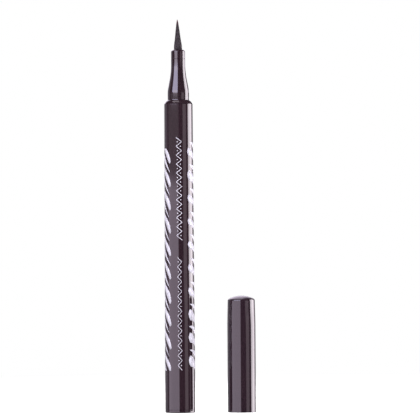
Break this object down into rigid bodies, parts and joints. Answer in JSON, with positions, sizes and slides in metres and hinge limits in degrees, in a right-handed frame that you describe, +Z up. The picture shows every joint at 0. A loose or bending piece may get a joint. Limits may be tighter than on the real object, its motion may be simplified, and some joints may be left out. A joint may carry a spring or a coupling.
{
  "type": "liquid eyeliner pen",
  "caption": "Slim liquid eyeliner pen standing on its tail, brush up, with its round cap taken off and standing beside it.",
  "frame": {"origin": "middle of the pen's flat foot", "axes": "+Z up the pen's axis towards the brush, +X from the pen towards the cap beside it"},
  "size_m": [0.0297, 0.0098, 0.1289],
  "materials": {
    "barrel_plastic": "polished dark aubergine-brown moulded plastic",
    "section_plastic": "polished dark moulded plastic",
    "cap_plastic": "polished dark aubergine-brown moulded plastic",
    "tank_plastic": "translucent natural polypropylene",
    "collector_plastic": "fine satin moulding",
    "inner_cap_plastic": "soft satin polyethylene",
    "seal_rubber": "smooth black rubber",
    "feed_fibre": "bonded fibre rod soaked with ink",
    "brush_fibre": "fine tapered synthetic bristles, matt with ink",
    "ball_steel": "polished steel"
  },
  "bodies": {
    "pen": {"tail_plug": "barrel_plastic", "barrel": "barrel_plastic", "ink_tank": "tank_plastic", "collector": "collector_plastic", "tank_seal": "seal_rubber", "feed_rod": "feed_fibre", "front_section": "section_plastic", "nib_holder": "section_plastic", "brush_root": "brush_fibre"},
    "ball": {"mixing_ball": "ball_steel"},
    "brush": {"brush_tip": "brush_fibre"},
    "cap": {"cap_shell": "cap_plastic", "inner_cap": "inner_cap_plastic"}
  },
  "joints": [
    {"name": "cap_lift", "type": "slide", "parent": "pen", "child": "cap", "axis": [0, 0, 1], "range_m": [0, 0.135]},
    {"name": "ball_slide", "type": "slide", "parent": "pen", "child": "ball", "axis": [0, 0, 1], "range_m": [0, 0.0623]},
    {"name": "brush_bend", "type": "hinge", "parent": "pen", "child": "brush", "pos_m": [0, 0, 0.119], "axis": [0, 1, 0], "range_deg": [-12, 12], "stiffness_Nm_per_rad": 0.001}
  ]
}
